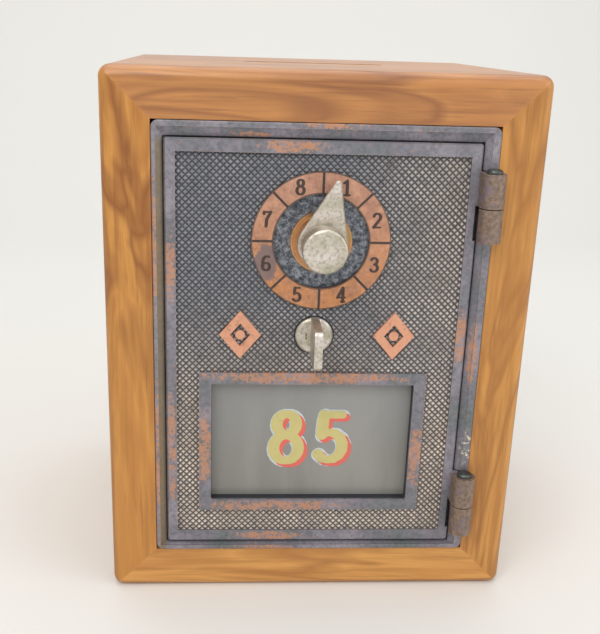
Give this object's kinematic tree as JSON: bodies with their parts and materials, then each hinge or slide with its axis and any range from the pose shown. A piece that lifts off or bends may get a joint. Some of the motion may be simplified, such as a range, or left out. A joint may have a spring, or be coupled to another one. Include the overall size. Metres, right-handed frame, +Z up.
{
  "type": "combination lock box",
  "caption": "Mitred wooden box with a cast lock-box door: dial with pointer knob, thumb-turn latch, window, hinges, coin slot.",
  "frame": {"origin": "centre of the case's bottom face", "axes": "+X to the right of someone facing the door, +Y from the door into the box, +Z up"},
  "size_m": [0.1142, 0.1149, 0.1472],
  "materials": {
    "case_wood": "satin varnish",
    "back_wood": "satin varnish",
    "patinated_bronze": "dark patina worn to copper",
    "worn_copper": "worn copper",
    "nickel": "worn nickel plate",
    "lock_brass": "dull brass",
    "lock_iron": "cast, dark",
    "screw_brass": "satin",
    "screw_steel": "satin",
    "dark_steel": "dark oxide",
    "window_glass": "hazy"
  },
  "bodies": {
    "case": {"bottom_board": "case_wood", "right_board": "case_wood", "top_board": "case_wood", "left_board": "case_wood", "back_panel": "back_wood", "back_screws": "screw_brass", "door_frame": "patinated_bronze", "frame_screws": "screw_brass", "hinge_pin_upper": "dark_steel", "hinge_pin_lower": "dark_steel"},
    "door": {"door_plate": "patinated_bronze", "window_glass": "window_glass", "glass_retainer": "lock_brass", "retainer_screws": "screw_steel", "dial_bushing": "worn_copper", "bushing_nut": "lock_brass", "lock_case": "lock_iron", "mount_screws": "screw_steel", "lock_cover": "lock_brass", "cover_screws": "screw_steel", "wheel_spacer": "lock_brass", "retaining_clip": "dark_steel", "lever_pivot": "lock_brass", "bolt_spring": "dark_steel"},
    "dial": {"pointer_knob": "nickel", "dial_spindle": "lock_brass", "drive_wheel": "lock_brass", "spindle_nut": "lock_brass"},
    "front_tumbler": {"tumbler_wheel_front": "lock_brass"},
    "rear_tumbler": {"tumbler_wheel_rear": "lock_brass"},
    "latch": {"thumb_turn": "nickel", "latch_cam": "lock_brass"},
    "bolt": {"latch_bolt": "lock_brass"},
    "fence": {"fence_lever": "lock_brass"}
  },
  "joints": [
    {"name": "door_swing", "type": "hinge", "parent": "case", "child": "door", "pos_m": [0.04265, -0.0536, 0.10395], "axis": [0, 0, 1], "range_deg": [0, 120]},
    {"name": "dial_turn", "type": "hinge", "parent": "door", "child": "dial", "pos_m": [-0.0005, -0.0508, 0.10395], "axis": [0, 1, 0], "continuous": true},
    {"name": "front_tumbler_turn", "type": "hinge", "parent": "door", "child": "front_tumbler", "pos_m": [-0.0005, -0.0508, 0.10395], "axis": [0, 1, 0], "continuous": true},
    {"name": "rear_tumbler_turn", "type": "hinge", "parent": "door", "child": "rear_tumbler", "pos_m": [-0.0005, -0.0508, 0.10395], "axis": [0, 1, 0], "continuous": true},
    {"name": "latch_turn", "type": "hinge", "parent": "door", "child": "latch", "pos_m": [-0.0014, -0.0508, 0.07815], "axis": [0, -1, 0], "range_deg": [0, 90]},
    {"name": "bolt_slide", "type": "slide", "parent": "door", "child": "bolt", "axis": [-1, 0, 0], "range_m": [0, 0.00441]},
    {"name": "fence_lift", "type": "hinge", "parent": "door", "child": "fence", "pos_m": [0.0205, -0.0508, 0.09795], "axis": [0, 1, 0], "range_deg": [0, 4]}
  ],
  "couplings": [
    {"joint": "front_tumbler_turn", "follows": "dial_turn", "ratio": 1},
    {"joint": "rear_tumbler_turn", "follows": "dial_turn", "ratio": 1},
    {"joint": "bolt_slide", "follows": "latch_turn", "m_per_rad": 0.0028}
  ]
}
